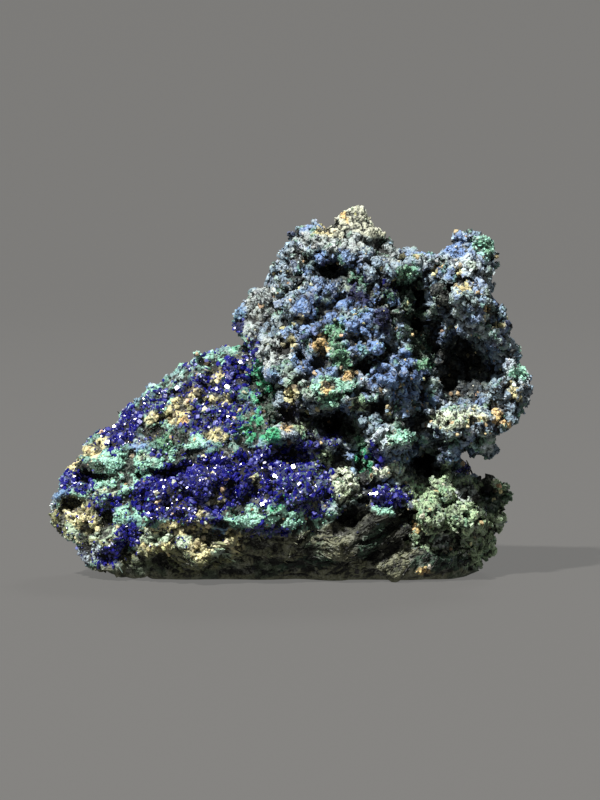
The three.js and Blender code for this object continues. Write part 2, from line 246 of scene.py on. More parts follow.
patches = {
    "mint": [
        (-13.5, 32.4, 3.8, 1.8, 22), (-7.6, 35, 1.7, 1.4, 0), (-20.2, 27.8, 2, 1.3, 30),
        (-18.8, 25, 2.2, 2.4, 0), (-20.2, 23.6, 2.2, 1.2, 0), (-16, 20.6, 3.6, 1.5, 5), (-20, 18, 4.4, 1.7, 5),
        (-27, 17.6, 3.6, 1.8, 12), (-25.6, 14.4, 4.2, 2.1, 8), (-30.8, 12.4, 2, 1.2, 0),
        (-25.2, 9, 1.1, 2, -30), (-23.6, 5.4, 2, 0.8, 15), (-24.6, 15.4, 5.2, 1.7, 10), (-26, 13, 4, 1.2, 8),
        (-22.4, 11, 1.8, 2.2, 30), (-5.4, 9.6, 6.4, 1.9, 4), (-2.6, 10.4, 2, 1.6, 0), (2.4, 9.6, 2.8, 2, 10),
        (-9, 17.2, 2.4, 0.8, 15), (16, 21.4, 2.2, 1.3, 0), (13.4, 10.8, 1.7, 1.1, 0),
        (17.6, 45.4, 2.2, 1.3, 20), (28.8, 49.8, 1.7, 1.7, 0), (6.2, 29, 3.6, 1.3, 5),
        (5.2, 25.9, 1.6, 0.5, 0), (34, 31, 1.4, 1, 0),
    ],
    "emerald": [
        (-4.6, 27.6, 1.5, 3.8, 10), (-5.6, 31.4, 1.2, 1.6, 0), (-5.4, 22.8, 2.8, 2, 0),
        (-2.8, 21.4, 1.4, 1.2, 30), (-7.6, 35, 1.2, 0.9, 0), (10.8, 18, 1.1, 2.7, 8), (-1.6, 13, 2, 1, 0),
        (-2.6, 10.6, 1.2, 0.8, 0),
    ],
    "fern": [
        (6.2, 36.8, 1.1, 2, -30), (7.4, 33.2, 1.5, 2.6, 20), (5.8, 27.4, 2.6, 0.8, 10),
        (16.6, 45.6, 1.5, 1, 30), (9.6, 21.4, 0.7, 3.4, 45), (19.6, 33.8, 1.4, 2.8, 10),
        (-18.4, 20.8, 1.6, 1.3, 0),
    ],
    "umber": [(13, 6.6, 4.8, 3.2, 30)],
    # bottle: the dark green rock at the base, and painted shade in the groove beside the pillar, in the seam
    # and in the slope's hollows
    "bottleAndShade": [
        (-20.9, 21.7, 1.5, 1.2, 0), (-16.4, 21.3, 1.5, 0.9, 0), (-29.6, 16.9, 2, 1, 0), (18.4, 40, 1.6, 5, -5),
        (19, 35.4, 1.7, 3, 0), (16.6, 42, 0.9, 3, 0), (18.4, 2.6, 1.4, 1, 0), (2, 2.6, 5, 0.9, 5),
        (12, 6, 1.2, 3.6, -40), (22, 3, 4.4, 1.5, 0), (29.4, 12, 1.7, 2.2, 0), (-3.4, 25, 1.1, 2.4, 8),
    ],
    "limonite": [
        (-16.9, 25.2, 1.7, 2.1, 10), (-14.4, 28, 1.6, 1, 30), (-11, 30.9, 1.2, 1.2, 0), (-11, 27, 2.2, 0.9, 0),
        (-11.4, 21.4, 2, 0.9, -4), (-29.4, 19.8, 2.4, 1.1, 25), (-32.6, 17.4, 1.2, 1.4, 30),
        (-31.4, 9.2, 3.4, 1.5, -25), (-28.4, 8.2, 1.8, 0.9, 20), (-17.4, 7.4, 5.4, 1.1, 6),
        (-13.4, 5, 2.2, 1.6, 0), (-8.6, 6.2, 1.3, 1.7, 0), (-19.4, 5.8, 3.4, 1.2, 0),
        (-10.8, 12.2, 1.1, 0.8, 0), (-13.6, 10, 0.9, 0.7, 0), (-5.4, 15, 1, 0.7, 0), (-0.1, 27.8, 1, 1.6, 0),
        (-20.2, 24.2, 1.7, 1.1, 10), (32.8, 28, 0.7, 1.7, 25), (5.2, 28.6, 0.9, 0.8, 0),
        (0.2, 35.4, 0.7, 1, 0), (25.6, 43.6, 1.2, 0.7, 0), (4.4, 52, 1.2, 0.6, 0), (27.6, 23.6, 1.6, 0.6, 10),
        (30.6, 37.8, 0.8, 0.6, 0), (1.2, 39.2, 0.6, 0.5, 0), (24.6, 46, 0.7, 0.5, 0),
    ],
    "olive": [
        (-16, 4.8, 7.6, 3.4, -4), (-31.4, 9, 4.6, 3.2, -15), (-22, 3.4, 4, 1.6, 0), (-28, 6.8, 4, 1.4, 10),
    ],
    "celadon": [
        (-27.4, 7, 3, 1, 10), (-20.4, 6.4, 3.4, 0.9, 5), (-32.6, 7.4, 1.8, 0.8, -30), (-10.6, 4.4, 1.2, 0.7, 0),
        (-16.4, 5.6, 1.6, 0.8, 20), (-27.6, 13.7, 1.4, 0.7, 0), (-21, 18.6, 1.6, 0.7, 10),
    ],
    "chalk": [(9.6, 53.8, 3.4, 2.3, -20), (6.4, 52, 2.6, 1, 10), (12.4, 52, 1.6, 1.2, -40)],
    "gold": [
        (4.4, 35, 1.3, 1.4, 0), (8.4, 30.6, 1.1, 0.7, 20), (16.6, 40.4, 0.7, 0.8, 0), (22, 46.8, 0.6, 0.5, 0),
        (29.2, 40.2, 0.9, 0.4, -30), (30.3, 24.4, 0.7, 1.4, -10), (31.6, 23.4, 1.2, 0.6, -20),
        (-0.8, 22.8, 0.8, 0.7, 0), (18.5, 7.9, 0.5, 1.1, 0), (19.4, 1.5, 1.3, 0.4, 0),
        (-16.2, 23.8, 0.8, 0.6, 0), (7.7, 54.4, 0.4, 1.5, 20), (5.6, 28.8, 0.7, 0.5, 0),
    ],
    "moss": [
        (20.6, 11, 3.2, 3.7, 0), (24.8, 8.2, 2.8, 2.1, 0), (4.6, 18.2, 1.8, 1.5, 0), (28.4, 6.8, 1.7, 3.4, 0),
        (1.4, 23, 1.7, 0.8, 10), (27, 5, 2.4, 1, 0), (22.6, 15.4, 1, 2, 0), (10, 26.6, 1.2, 1.6, 0),
    ],
    "lichen": [
        (8, 14.6, 2.2, 3.2, 15), (13.2, 15.8, 3.4, 1.1, 25), (24.6, 24.2, 4.4, 1.4, 5), (25, 7.9, 1.4, 1, 0),
        (20.8, 13, 2.2, 1.4, 0), (4.2, 18.4, 1.2, 1.1, 0), (14.6, 20.8, 1.1, 0.8, 20), (24.2, 8.8, 1.7, 1.5, 0),
        (27.4, 5.8, 2.0, 0.9, 20), (20, 9.4, 1, 1.2, 0),
    ],
    "ash": [
        (-2.6, 34, 2.4, 2.6, 0), (-4.2, 41.2, 2.6, 2.6, 40), (-6, 38, 1.4, 1.8, 0), (7, 50.4, 5.6, 1.5, 0),
        (2.4, 50.8, 1.6, 1.2, 0), (14, 48.8, 3, 1.2, -30), (26, 13, 1.8, 1.5, 0), (22.4, 6, 1.3, 0.9, 0),
    ],
    "pale": [
        (25.4, 48, 2.6, 3.6, 0), (27, 38.6, 3.6, 2, -20), (28, 20.6, 2.6, 1.8, 0), (25.6, 12.6, 2.3, 2, 0),
        (-30.4, 4.2, 2.2, 1.7, 0), (33.6, 31, 2, 2.4, 0), (-17, 19, 2, 1, 0), (21, 24, 1.6, 1.8, 0),
        (1.6, 48.6, 2, 1.4, 0), (14, 20.6, 3, 2.2, 0), (26.6, 43, 3, 3, 0), (30.6, 36, 1.4, 3, 20),
        (21, 47.6, 2.6, 1, 0), (31.4, 13.6, 1.2, 1.8, 0),
    ],
    "cobalt": [
        (2.6, 31.8, 3, 1.5, 0), (15.6, 31, 5, 2.7, 5), (11.2, 37, 2.5, 4.2, 10), (12.4, 41.4, 3.8, 2.3, 0),
        (3.2, 46.6, 2.2, 1, 0), (24.4, 49.6, 1.6, 2, 0), (17, 28, 2.6, 1.8, 0), (5, 40, 5, 3, 0),
        (4.9, 48.7, 2.7, 2.1, 0),
    ],
    "navy": [
        (10, 43.6, 2.6, 2.2, 0), (14.2, 43, 1.6, 1.8, 0), (-6, 33, 1.1, 3, 0), (-0.6, 25, 1.8, 1.4, 0),
        (-8, 38, 1, 1, 0), (13.6, 39, 1.4, 2.6, 0), (3.4, 21.6, 2, 1.6, 0), (6, 47.4, 1.6, 0.8, 0),
    ],
}

# Azurite crystals, with the share of the ground that they cover
azuriteBelts = [
    (-25.4, 22.8, 3.8, 2.4, 45, 1.0), (-20.4, 26.4, 1.6, 2.4, -40, 0.8), (-13.6, 29, 4.6, 1.6, 25, 0.9),
    (-8.8, 30.6, 2.6, 2.5, 0, 0.9), (-10.4, 25.4, 4, 3.8, 0, 0.62), (-14.4, 26.4, 2.6, 2.6, 0, 0.6),
    (-12, 23.4, 4.4, 1.6, 5, 0.85), (-31.8, 14.6, 2.5, 1.6, 0, 0.9), (-27.6, 11.6, 2.6, 1.3, 0, 0.6),
    (-13.6, 14, 10.6, 4.4, 12, 1.0), (-5.6, 17, 7, 2.4, 6, 0.95), (-19, 11, 3.6, 2.2, 0, 0.8),
    (-3.4, 13.6, 6.8, 2.8, -8, 0.85), (3, 13.6, 3.6, 4.2, 0, 0.8), (-24.2, 6.8, 1.6, 1.6, 0, 1.0),
    (-27, 3.9, 1.9, 1.6, 30, 0.9), (-13.4, 9.6, 4, 1.4, 8, 0.7), (-4, 7.6, 3.6, 0.8, 0, 0.8),
    (14.6, 12.4, 3.3, 1.3, 0, 1.0), (12.6, 18.6, 0.8, 2.2, 10, 1.0), (2, 19.6, 2, 1.6, 0, 0.7),
    (-6.2, 33.4, 1.2, 2.6, 0, 0.55), (14.2, 43.2, 1.2, 1.2, 0, 0.2),
    (-8, 38, 1, 1, 0, 0.4), (-20, 18.9, 1.2, 0.8, 0, 0.7), (6.4, 21.2, 1.4, 1, 0, 0.5),
]

# Hollows in the face, the same way, with their depth in mm
hollows = [
    (5.8, 45.6, 2.9, 1.4, -10, 5.5), (0.6, 43.8, 2.2, 0.8, 0, 2.4), (18.3, 41, 1.7, 5.4, -8, 6.5),
    (15.2, 38, 1.3, 2.8, 0, 2.4), (-4.2, 26.2, 0.9, 2.8, 10, 1.6), (2, 47.6, 0.7, 1.6, 20, 1.6),
    (25, 31.6, 4.0, 5.6, 15, 5.5), (21, 35.6, 1.2, 3.8, 0, 3.5), (10, 32.3, 2, 1.3, 30, 2.6),
    (6, 23.2, 4.6, 2.1, -14, 7.5), (18, 23.6, 2.4, 1.8, 0, 6.0), (-1.8, 24.2, 1.4, 1.4, 0, 3.0),
    (19.4, 16.6, 3, 2.2, 0, 5.5), (10.8, 12.2, 1.4, 0.8, 0, 2.0), (9.2, 9.3, 3.4, 2.2, 10, 3.2),
    (17, 8.6, 1.2, 2.8, 0, 3.0), (28.4, 11.4, 0.9, 2.2, 0, 3.2), (-18.8, 21.8, 3.0, 0.9, -5, 2.2),
    (-29.4, 17, 1.6, 0.7, 0, 1.2), (-33, 11.4, 1.8, 0.9, 0, 2.2), (-27.5, 9.8, 1.7, 1.6, 30, 3.0),
    (8.4, 42.2, 2.2, 0.7, 20, 1.6), (-1.6, 38.2, 2.4, 0.7, 30, 1.6), (1.6, 33.6, 1.0, 2.2, 20, 1.6),
    (14.4, 34.6, 1.2, 1.6, 0, 2.0), (12.6, 25.4, 2.2, 1.0, 10, 2.2), (6.6, 19.4, 1.4, 1.8, 30, 2.4),
    (-6.4, 36.4, 1.6, 0.6, 10, 1.5), (22.4, 43.6, 0.8, 2, 10, 1.6), (22.4, 8.6, 0.7, 2.2, 20, 2.0),
    (22, 20, 1.6, 1.6, 0, 3.0), (23.2, 10.6, 2.4, 0.6, -20, 1.8), (25.6, 5.6, 2.6, 0.6, 20, 1.8),
]
# Parts of the outline that are moved, the same way, with the move in x and in height, mm
shifts = [
    (-27, 3.6, 7.5, 3.4, 4, 0, -2.3), (-3.4, 42.5, 3.6, 8, -26, 1.3, 0), (27, 50.6, 4.4, 3, 0, -0.3, 0.8),
    (31.2, 46.4, 2.4, 4, 0, -1.2, 0), (26.8, 17.8, 3.4, 2.4, 0, -1.1, 1.7), (-1.8, 48.2, 3.2, 3.4, 0, 1.3, 0),
    (31.4, 40, 2.6, 3.6, 0, 0.9, 0), (31.2, 10.6, 2.4, 4.4, 0, 0.8, 0),
]
# Lumps on it, the same way
lumps = [
    (4.9, 48.7, 2.9, 2.3, 0, 4.0), (11.2, 37, 2.6, 4.0, 10, 2.6), (-2.6, 34, 2.8, 2.8, 0, 1.4),
    (17, 46.4, 3.4, 1.6, 0, 1.0), (25.6, 47.4, 2.6, 3.6, 0, 0.8), (33.4, 29, 1.5, 3, 0, 0.8),
    (4.4, 35, 1.4, 1.5, 0, 0.9), (-27.2, 7, 3.4, 1.1, 10, 1.4), (-5, 9.4, 5.8, 1.4, 4, 1.0),
    (-18.4, 20.6, 1.6, 1.2, 0, 1.4), (25, 23.6, 4.4, 1.6, 5, 1.2),
    (21.2, 12.4, 2.8, 2.2, 10, 2.0), (26.2, 10.8, 2.2, 3, 0, 1.5), (24.2, 8.3, 2.1, 2.1, 0, 2.2),
    (20.2, 8.8, 1.6, 2.0, 0, 1.4), (27.4, 5.4, 2.4, 1.3, 20, 1.8), (28.8, 8.8, 1.4, 1.8, 0, 1.2),
    (24, 18.6, 1.7, 1.5, 0, 1.4), (27.8, 20.4, 2.3, 1.7, 0, 1.4), (4.6, 18.3, 1.7, 1.4, 0, 1.5),
    (8, 13.8, 2.2, 3.4, 15, 2.4), (13.2, 15.8, 3.4, 0.9, 25, 2.2), (14.6, 12.4, 3.3, 0.9, 0, 1.4),
    (16, 30.6, 3.4, 2.0, 0, 1.2), (15.4, 20.6, 2.4, 1.8, 0, 1.2), (7.4, 32, 1.4, 3.4, 25, 1.3),
    (-5, 41.4, 2.6, 1.6, 40, 1.0), (1, 49, 1.6, 1.4, 0, 1.0), (16.2, 42, 0.8, 3.4, -5, 1.4),
    (-14, 20, 2.4, 0.8, 5, 0.8), (-25.4, 13.4, 5.4, 2.4, 8, 2.0), (-13.6, 14.4, 8, 2.2, 12, 0.8),
    (-17, 5.6, 6.2, 2.2, 6, 1.8), (-12.6, 5.4, 2.6, 1.4, 0, 1.0), (26, 41.4, 3.2, 3.4, 0, 3.0),
    (30.6, 35, 1.4, 3.4, 20, 1.0), (1.4, 41, 2.4, 1.8, 20, 0.8),
]

groundTones = {  # colours of the crusts and rocks, and of painted shade
    "slate": "889eb0", "mint": "9cd6be", "emerald": "3fa878", "limonite": "e0d8a2", "gold": "e4c284",
    "moss": "a8c298", "lichen": "d8e4c8", "pale": "c2d2da", "cobalt": "7090c4", "navy": "1a2050",
    "rock": "70725a", "azurite": "04064e", "umber": "282a1e", "darkMint": "628f83", "bottleAndShade": "2d4636",
    "hollow": "101415", "chalk": "cccfb9", "ash": "adb8b8", "fern": "6ca27e", "peach": "d8b890",
    "olive": "86885e", "celadon": "b9d0b4",
}
ground = {name: np.array(tone(code)) for name, code in groundTones.items()}

# Blotches of a mineral: the wider ground that they lie on, their most share, size in mm, seed, and the
# noise where they begin and where they are full
blotches = [
    ("moss", "ore", 0.5, 2.6, 61, 0.3, 0.6), ("cobalt", "all", 0.75, 4.4, 63, 0.05, 0.5),
    ("navy", "all", 0.8, 2.2, 65, 0.45, 0.75), ("pale", "all", 0.6, 3.2, 67, 0.35, 0.7),
    ("fern", "ore", 0.7, 1.7, 75, 0.45, 0.7), ("mint", "back", 1, 7, 15, 0.26, 0.42),
    ("bottleAndShade", "rock", 0.7, 3, 69, 0.1, 0.4), ("azurite", "back", 0.9, 8, 18, 0.34, 0.46),
    ("limonite", "back", 1, 4.4, 21, 0.5, 0.6),
]

borders = {  # where a mineral begins and where it is full, inside its patch or in mm past its edge
    "patch": (-0.12, 0.18), "hollow": (-0.1, 0.4), "slope": (-0.8, 0.8), "rock": (-0.5, 0.5),
    "rockBehind": (-2, 2), "lobeSide": (16.6, 17.8), "lobeTop": (-16, -15),
    "hollowWall": (-0.6, 0), "hollowEnd": (-10, -8),
}


def inPatch(x, height, patch):  # 1 in the middle of a patch, 0 on its edge
    turn = math.radians(patch[4])
    dx, dz = x - patch[0], height - patch[1]
    across = (dx * math.cos(turn) + dz * math.sin(turn)) / patch[2]
    along = (dz * math.cos(turn) - dx * math.sin(turn)) / patch[3]
    return 1 - across ** 2 - along ** 2


def rockTop(x):  # height of the crusts' lower edge, under which bare rock shows
    return np.interp(x, [-36, -31, -26, -22, -15, -8, 3, 6, 9, 13, 17, 18, 24, 29, 33],
                     [1, 1.6, 2.6, 5, 4.4, 7, 7.2, 9.4, 10.6, 10.8, 9.6, 5, 3, 1, 0])


def slopeEdge(height):  # x where the crystal slope meets the knobbly ore
    return np.interp(height, [8, 11, 14, 17.5, 19, 21, 24, 27, 31, 36],
                     [9, 8, 6.5, 4, 2, -0.8, -3, -5, -6, -6.6])


def onFace(points):  # 1 on the side that the camera sees, 0 on the back; the border wanders by 3 mm
    return 1 - smooth(points[:, 1] / mm + 3 * softNoise(points, 7, 9), 1, 5)


def drift(points, size, seed, low, high):  # blotches with smaller ones along their borders, 0 to 1
    return smooth(softNoise(points, size, seed) + 0.45 * softNoise(points, size * 0.35, seed + 1), low, high)


def readMinerals(points):  # how much of each mineral, and of the painted hollow shade, shows at each point, 0 to 1
    ragged = warp(warp(points, 1.5, 0.7, 3), 0.6, 0.3, 6)
    x, height = seenFromCamera(ragged)
    inHollow = np.max([inPatch(x, height, p) for p in hollows], axis=0)
    inWall = smooth(inHollow, *borders["hollowWall"]) * smooth(-points[:, 1] / mm, *borders["hollowEnd"])
    front = np.maximum(onFace(points), inWall)  # the walls of hollows belong to the face
    shares = {}
    for name, places in patches.items():
        deepest = np.max([inPatch(x, height, p) for p in places], axis=0)
        shares[name] = smooth(deepest, *borders["patch"]) * front
    covered = [np.where(inPatch(x, height, p) > 0, p[5], 0.0) for p in azuriteBelts]
    earthy = np.maximum(shares["limonite"], shares["gold"])
    shares["azurite"] = np.max(covered, axis=0) * front * (1 - 0.85 * earthy)
    # painted shade: near-black painted into the hollows, stronger for deeper ones
    pressed = [smooth(inPatch(x, height, p), *borders["hollow"]) * min(1, p[5] / 4) for p in hollows]
    shares["hollow"] = np.max(pressed, axis=0) * front * 0.9
    onSlope = smooth(slopeEdge(height) - x, *borders["slope"])
    bare = smooth(rockTop(x) - height, *borders["rock"])
    behind = 1 - front
    underTop = 24 + 12 * softNoise(points, 14, 12) - points[:, 2] / mm  # rock up to about 24 mm on the back
    shares["rock"] = bare * front + smooth(underTop, *borders["rockBehind"]) * behind
    shares["darkMint"] = onSlope * front
    knobbly = front * (1 - onSlope) * (1 - bare)
    lobe = knobbly * smooth(x, *borders["lobeSide"]) * smooth(-height, *borders["lobeTop"])
    shares["moss"] = np.maximum(shares["moss"], lobe)
    grounds = {"all": np.ones(len(x)), "ore": knobbly, "back": behind, "rock": shares["rock"]}
    for name, where, most, size, seed, low, high in blotches:
        shares[name] = np.maximum(shares[name], most * grounds[where] * drift(points, size, seed, low, high))
    return shares


paintOrder = ("darkMint", "pale", "cobalt", "navy", "rock", "umber", "lichen", "moss", "ash", "mint", "fern",
              "emerald", "olive", "chalk", "limonite", "celadon", "gold", "azurite", "hollow", "bottleAndShade")


def paintGround(shares):  # the colour of the ground under the grains, painted shade in hollows and grooves included
    colour = np.tile(ground["slate"], (len(shares["rock"]), 1))
    for name in paintOrder:
        share = shares[name][:, None]
        colour = colour * (1 - share) + ground[name] * share
    return colour


# The stone's body: the solid, worn round, then pressed and swollen into hollows, knobs, ribs and pits

stoneBody = {
    "voxel": 0.4, "rounding": 3, "deepest": 6.0,  # grid in mm, rounds of wear, how far back hollows go in mm
    "clumps": (4.4, 2.3), "blocks": (2.2, 1.05), "flakes": (1.0, 0.4),  # size and height of the ore's knobs, mm
    "hills": (3.4, 0.8), "tufts": (1.9, 0.9), "buds": (0.95, 0.45),  # and of the slope's crust
    "folds": (4.2, 1.4), "ribs": (1.5, 0.9), "threads": (0.7, 0.4),  # and of the rock's folds
    "pits": (1.3, 0.7), "knobLevel": 0.72, "blockLevel": 0.3, "foldLevel": 0.6, "foldSharpness": 1.6,
    "foldMiddle": (2, 30), "foldPitch": 7, "foldThrough": 0.7,  # the folds run round this place on the face
    "gaps": ((8, -0.03, 0.09, 0.8), (60, -0.1, 0.45, 0.75)),  # rounds of levelling, begin, full in mm, shade
    "flank": (0, 0.85), "shiftFlank": (0, 0.7),  # from the edge of a hollow, lump or shift to its full depth
    "footBand": (0.2, 1.2),  # heights in mm where the foot begins to give way and where it has ended
}
floorGap = 0.02 * mm  # what isn't foot keeps this far off the floor


def meshPoints(mesh):
    flat = np.zeros(len(mesh.vertices) * 3)
    mesh.vertices.foreach_get("co", flat)
    return flat.reshape(-1, 3)


def meshNormals(mesh):
    flat = np.zeros(len(mesh.vertices) * 3)
    mesh.vertices.foreach_get("normal", flat)
    return flat.reshape(-1, 3)


def moveSkin(mesh, moves, still):  # moves the skin in mm; the foot stays on the floor
    points = meshPoints(mesh)
    moved = points + moves * mm * (1 - still)[:, None]
    moved[:, 2] = np.where(still > 0.99, points[:, 2], np.maximum(moved[:, 2], floorGap))
    mesh.vertices.foreach_set("co", moved.ravel())
    mesh.update()


def swell(mesh, heights, still):
    moveSkin(mesh, meshNormals(mesh) * heights[:, None], still)


def footOf(points):  # 1 on the face that the stone stands on, 0 above it
    return 1 - smooth(points[:, 2] / mm, *stoneBody["footBand"])


def pressFace(mesh):
    points = meshPoints(mesh)
    x, height = seenFromCamera(warp(points, 2.5, 0.6, 71))
    inward, outward = (sum(smooth(inPatch(x, height, spot), *stoneBody["flank"]) * spot[5] for spot in spots)
                       for spots in (hollows, lumps))
    front = onFace(points)
    moves = meshNormals(mesh) * (outward * front)[:, None]
    room = np.maximum(stoneBody["deepest"] - points[:, 1] / mm, 0)  # hollows stop short of the back
    moves[:, 1] += np.minimum(inward * front, room)
    for spot in shifts:
        share = smooth(inPatch(x, height, spot), *stoneBody["shiftFlank"])
        moves[:, 0] += share * spot[5]
        moves[:, 2] += share * spot[6]
    moveSkin(mesh, moves, footOf(points))


def keepOnMesh(mesh, name, kind, values):
    attribute = mesh.attributes.new(name, kind, "POINT")
    if kind == "FLOAT_COLOR":
        values = np.concatenate([values, np.ones((len(values), 1))], axis=1)
        attribute.data.foreach_set("color", values.ravel().astype(np.float32))
    else:
        attribute.data.foreach_set("value", values.astype(np.float32))


def sunkIn(mesh, rounds):  # how far the skin lies under its surroundings, in mm; below 0 it stands out
    ends = np.zeros(len(mesh.edges) * 2, dtype=np.int64)
    mesh.edges.foreach_get("vertices", ends)
    one, other = ends[0::2], ends[1::2]
    points = meshPoints(mesh)
    around = np.bincount(one, minlength=len(points)) + np.bincount(other, minlength=len(points))
    level = points.copy()
    for _ in range(rounds):
        pulled = np.stack([np.bincount(one, level[other, k], len(points))
                           + np.bincount(other, level[one, k], len(points)) for k in range(3)], axis=1)
        level = 0.5 * level + 0.5 * pulled / around[:, None]
    return ((level - points) * meshNormals(mesh)).sum(axis=1) / mm


def remeshed(stone, rounds):
    remesh = stone.modifiers.new("voxels", "REMESH")
    remesh.mode = "VOXEL"
    remesh.voxel_size = stoneBody["voxel"] * mm
    wear = stone.modifiers.new("wear", "SMOOTH")
    wear.factor = 0.5
    wear.iterations = rounds
    applyAll(stone)


def makeStone():
    stone = bpy.data.objects.new("stone_body", stoneNode.data.copy())
    bpy.context.scene.collection.objects.link(stone)
    stone.data.materials.clear()
    pickOnly(stone)
    bpy.ops.object.mode_set(mode="EDIT")
    bpy.ops.mesh.select_all(action="SELECT")
    bpy.ops.mesh.remove_doubles(threshold=0.01 * mm)
    bpy.ops.object.mode_set(mode="OBJECT")
    remeshed(stone, stoneBody["rounding"])
    pressFace(stone.data)
    remeshed(stone, 2)
    mesh = stone.data
    points = meshPoints(mesh)
    foot = footOf(points)
    shares = readMinerals(points)
    bare = shares["rock"]
    crust = np.max([shares[name] for name in ("darkMint", "mint", "azurite")], axis=0)
    crusted = np.clip(crust * (1 - bare), 0, 1)
    knobbly = np.clip(1 - bare - crusted, 0, 1) * (1 - 0.7 * shares["chalk"])
    uneven = warp(points, 3, 0.9, 29)
    middleX, middleHeight = stoneBody["foldMiddle"]
    x, height = seenFromCamera(points)
    around = np.arctan2(x - middleX, middleHeight - height)
    draped = np.stack([np.hypot(x - middleX, height - middleHeight), stoneBody["foldPitch"] * around,
                       points[:, 1] / mm * stoneBody["foldThrough"]], axis=1) * mm
    draped = warp(draped, 3, 1.2, 73)

    def knobs(name, seed):
        size, high = stoneBody[name]
        return (domes(uneven, size, seed) - stoneBody["knobLevel"]) * high

    def folds(name, seed):
        size, high = stoneBody[name]
        creases = stoneBody["foldSharpness"] * np.abs(softNoise(draped, size, seed))
        return (stoneBody["foldLevel"] - creases) * high

    def broken(name, seed):
        size, high = stoneBody[name]
        return (chunks(uneven, size, seed) - stoneBody["blockLevel"]) * high

    size, high = stoneBody["hills"]
    hills = softNoise(points, size, 33) * high
    swell(mesh, knobs("clumps", 31) * knobbly + hills * crusted + folds("folds", 35) * bare, foot)
    swell(mesh, broken("blocks", 37) * knobbly + knobs("tufts", 38) * crusted + folds("ribs", 39) * bare, foot)
    size, deep = stoneBody["pits"]
    pitted = np.clip(shares["limonite"] + 0.5 * bare, 0, 1)
    pits = smooth(softNoise(points, size, 43), 0.1, 0.5) * deep * pitted
    swell(mesh, broken("flakes", 41) * knobbly + knobs("buds", 42) * crusted + folds("threads", 44) * bare
          - pits, foot)
    # painted shade: how far each point lies in a crevice; rise (1 - gap) lets the materials darken the crevices
    gap = np.clip(sum(smooth(sunkIn(mesh, rounds), low, full) * shade
                      for rounds, low, full, shade in stoneBody["gaps"]), 0, 1)
    keepOnMesh(mesh, "rise", "FLOAT", 1 - gap)
    keepOnMesh(mesh, "ore", "FLOAT_COLOR", paintGround(readMinerals(meshPoints(mesh))))
    pickOnly(stone)
    bpy.ops.object.shade_smooth()
    return stone, gap


stone, gap = makeStone()
print("stone body:", len(stone.data.polygons), "faces")


# Spots on the stone for crystals and grains

def readSkin(mesh):  # corners, normals, areas and minerals of the stone's triangles
    mesh.calc_loop_triangles()
    corners = np.zeros(len(mesh.loop_triangles) * 3, dtype=np.int64)
    mesh.loop_triangles.foreach_get("vertices", corners)
    corners = corners.reshape(-1, 3)
    a, b, c = (meshPoints(mesh)[corners[:, k]] for k in range(3))
    area = np.linalg.norm(np.cross(b - a, c - a), axis=1) / 2
    normals = meshNormals(mesh)[corners].mean(axis=1)
    normals /= np.linalg.norm(normals, axis=1, keepdims=True)
    return {"a": a, "b": b, "c": c, "normal": normals, "area": area, "gap": gap[corners].mean(axis=1),
            "shares": readMinerals((a + b + c) / 3), "lifted": smooth(a[:, 2] / mm, 0.5, 1.5)}


skin = readSkin(stone.data)


def findSpots(cover, spacing, seed):  # random places on the skin, one to a cell, kept where cover is high
    draw = np.random.default_rng(seed)
    chance = skin["area"] * (cover > 0.01)
    count = int(chance.sum() / (spacing * mm) ** 2 * 5) + 1
    picked = draw.choice(len(chance), size=count, p=chance / chance.sum())
    u, v = draw.random(count), draw.random(count)
    over = u + v > 1
    u[over], v[over] = 1 - u[over], 1 - v[over]
    a, b, c = (skin[k][picked] for k in "abc")
    places = a + (b - a) * u[:, None] + (c - a) * v[:, None]
    cells = np.floor(places / (spacing * mm)).astype(np.int64)
    first = np.sort(np.unique(cells, axis=0, return_index=True)[1])
    kept = first[draw.random(len(first)) < (cover * skin["lifted"])[picked[first]]]
    return {"place": places[kept], "normal": skin["normal"][picked[kept]], "face": picked[kept]}


def unit(rows):
    return rows / np.linalg.norm(rows, axis=1, keepdims=True)


def copyOnto(name, shape, spots, sizes, lean, sink, seed):  # one mesh of a shape's copies, each a little other
    draw = np.random.default_rng(seed)
    count = len(spots["place"])
    points, faces = shape
    sideways = unit(np.cross(spots["normal"], draw.normal(size=(count, 3))))
    axis = unit(spots["normal"] + sideways * (lean * draw.random(count))[:, None])
    first = unit(np.cross(axis, draw.normal(size=(count, 3))))
    second = np.cross(axis, first)
    scale = sizes * mm
    stretch = 1 + 0.5 * (draw.random((count, 3)) - 0.5)
    local = points[None, :, :] * (stretch * scale[:, None])[:, None, :]
    local[:, :, 2] -= (sink * scale)[:, None]
    placed = (local[:, :, 0:1] * first[:, None] + local[:, :, 1:2] * second[:, None]
              + local[:, :, 2:3] * axis[:, None] + spots["place"][:, None])
    placed[:, :, 2] = np.maximum(placed[:, :, 2], floorGap)
    corners = faces[None] + (np.arange(count) * len(points))[:, None, None]
    mesh = bpy.data.meshes.new(name)
    mesh.from_pydata(placed.reshape(-1, 3), [], corners.reshape(-1, 3))
    # rise: 0 at each copy's foot, 1 at its tip; the materials paint shade at the foot from it
    low, high = points[:, 2].min(), points[:, 2].max()
    rise = np.tile((points[:, 2] - low) / (high - low), count)
    keepOnMesh(mesh, "rise", "FLOAT", rise)
    keepOnMesh(mesh, "tint", "FLOAT", np.repeat(draw.random(count), len(points)))
    piece = bpy.data.objects.new(name, mesh)
    bpy.context.scene.collection.objects.link(piece)
    return piece


def takeShape(obj):  # points in units of the shape's size and triangles, and removes the pattern
    pickOnly(obj)
    bpy.ops.object.mode_set(mode="EDIT")
    bpy.ops.mesh.select_all(action="SELECT")
    bpy.ops.mesh.quads_convert_to_tris()
    bpy.ops.object.mode_set(mode="OBJECT")
    points = meshPoints(obj.data)
    faces = np.array([list(p.vertices) for p in obj.data.polygons])
    bpy.data.objects.remove(obj)
    return points, faces


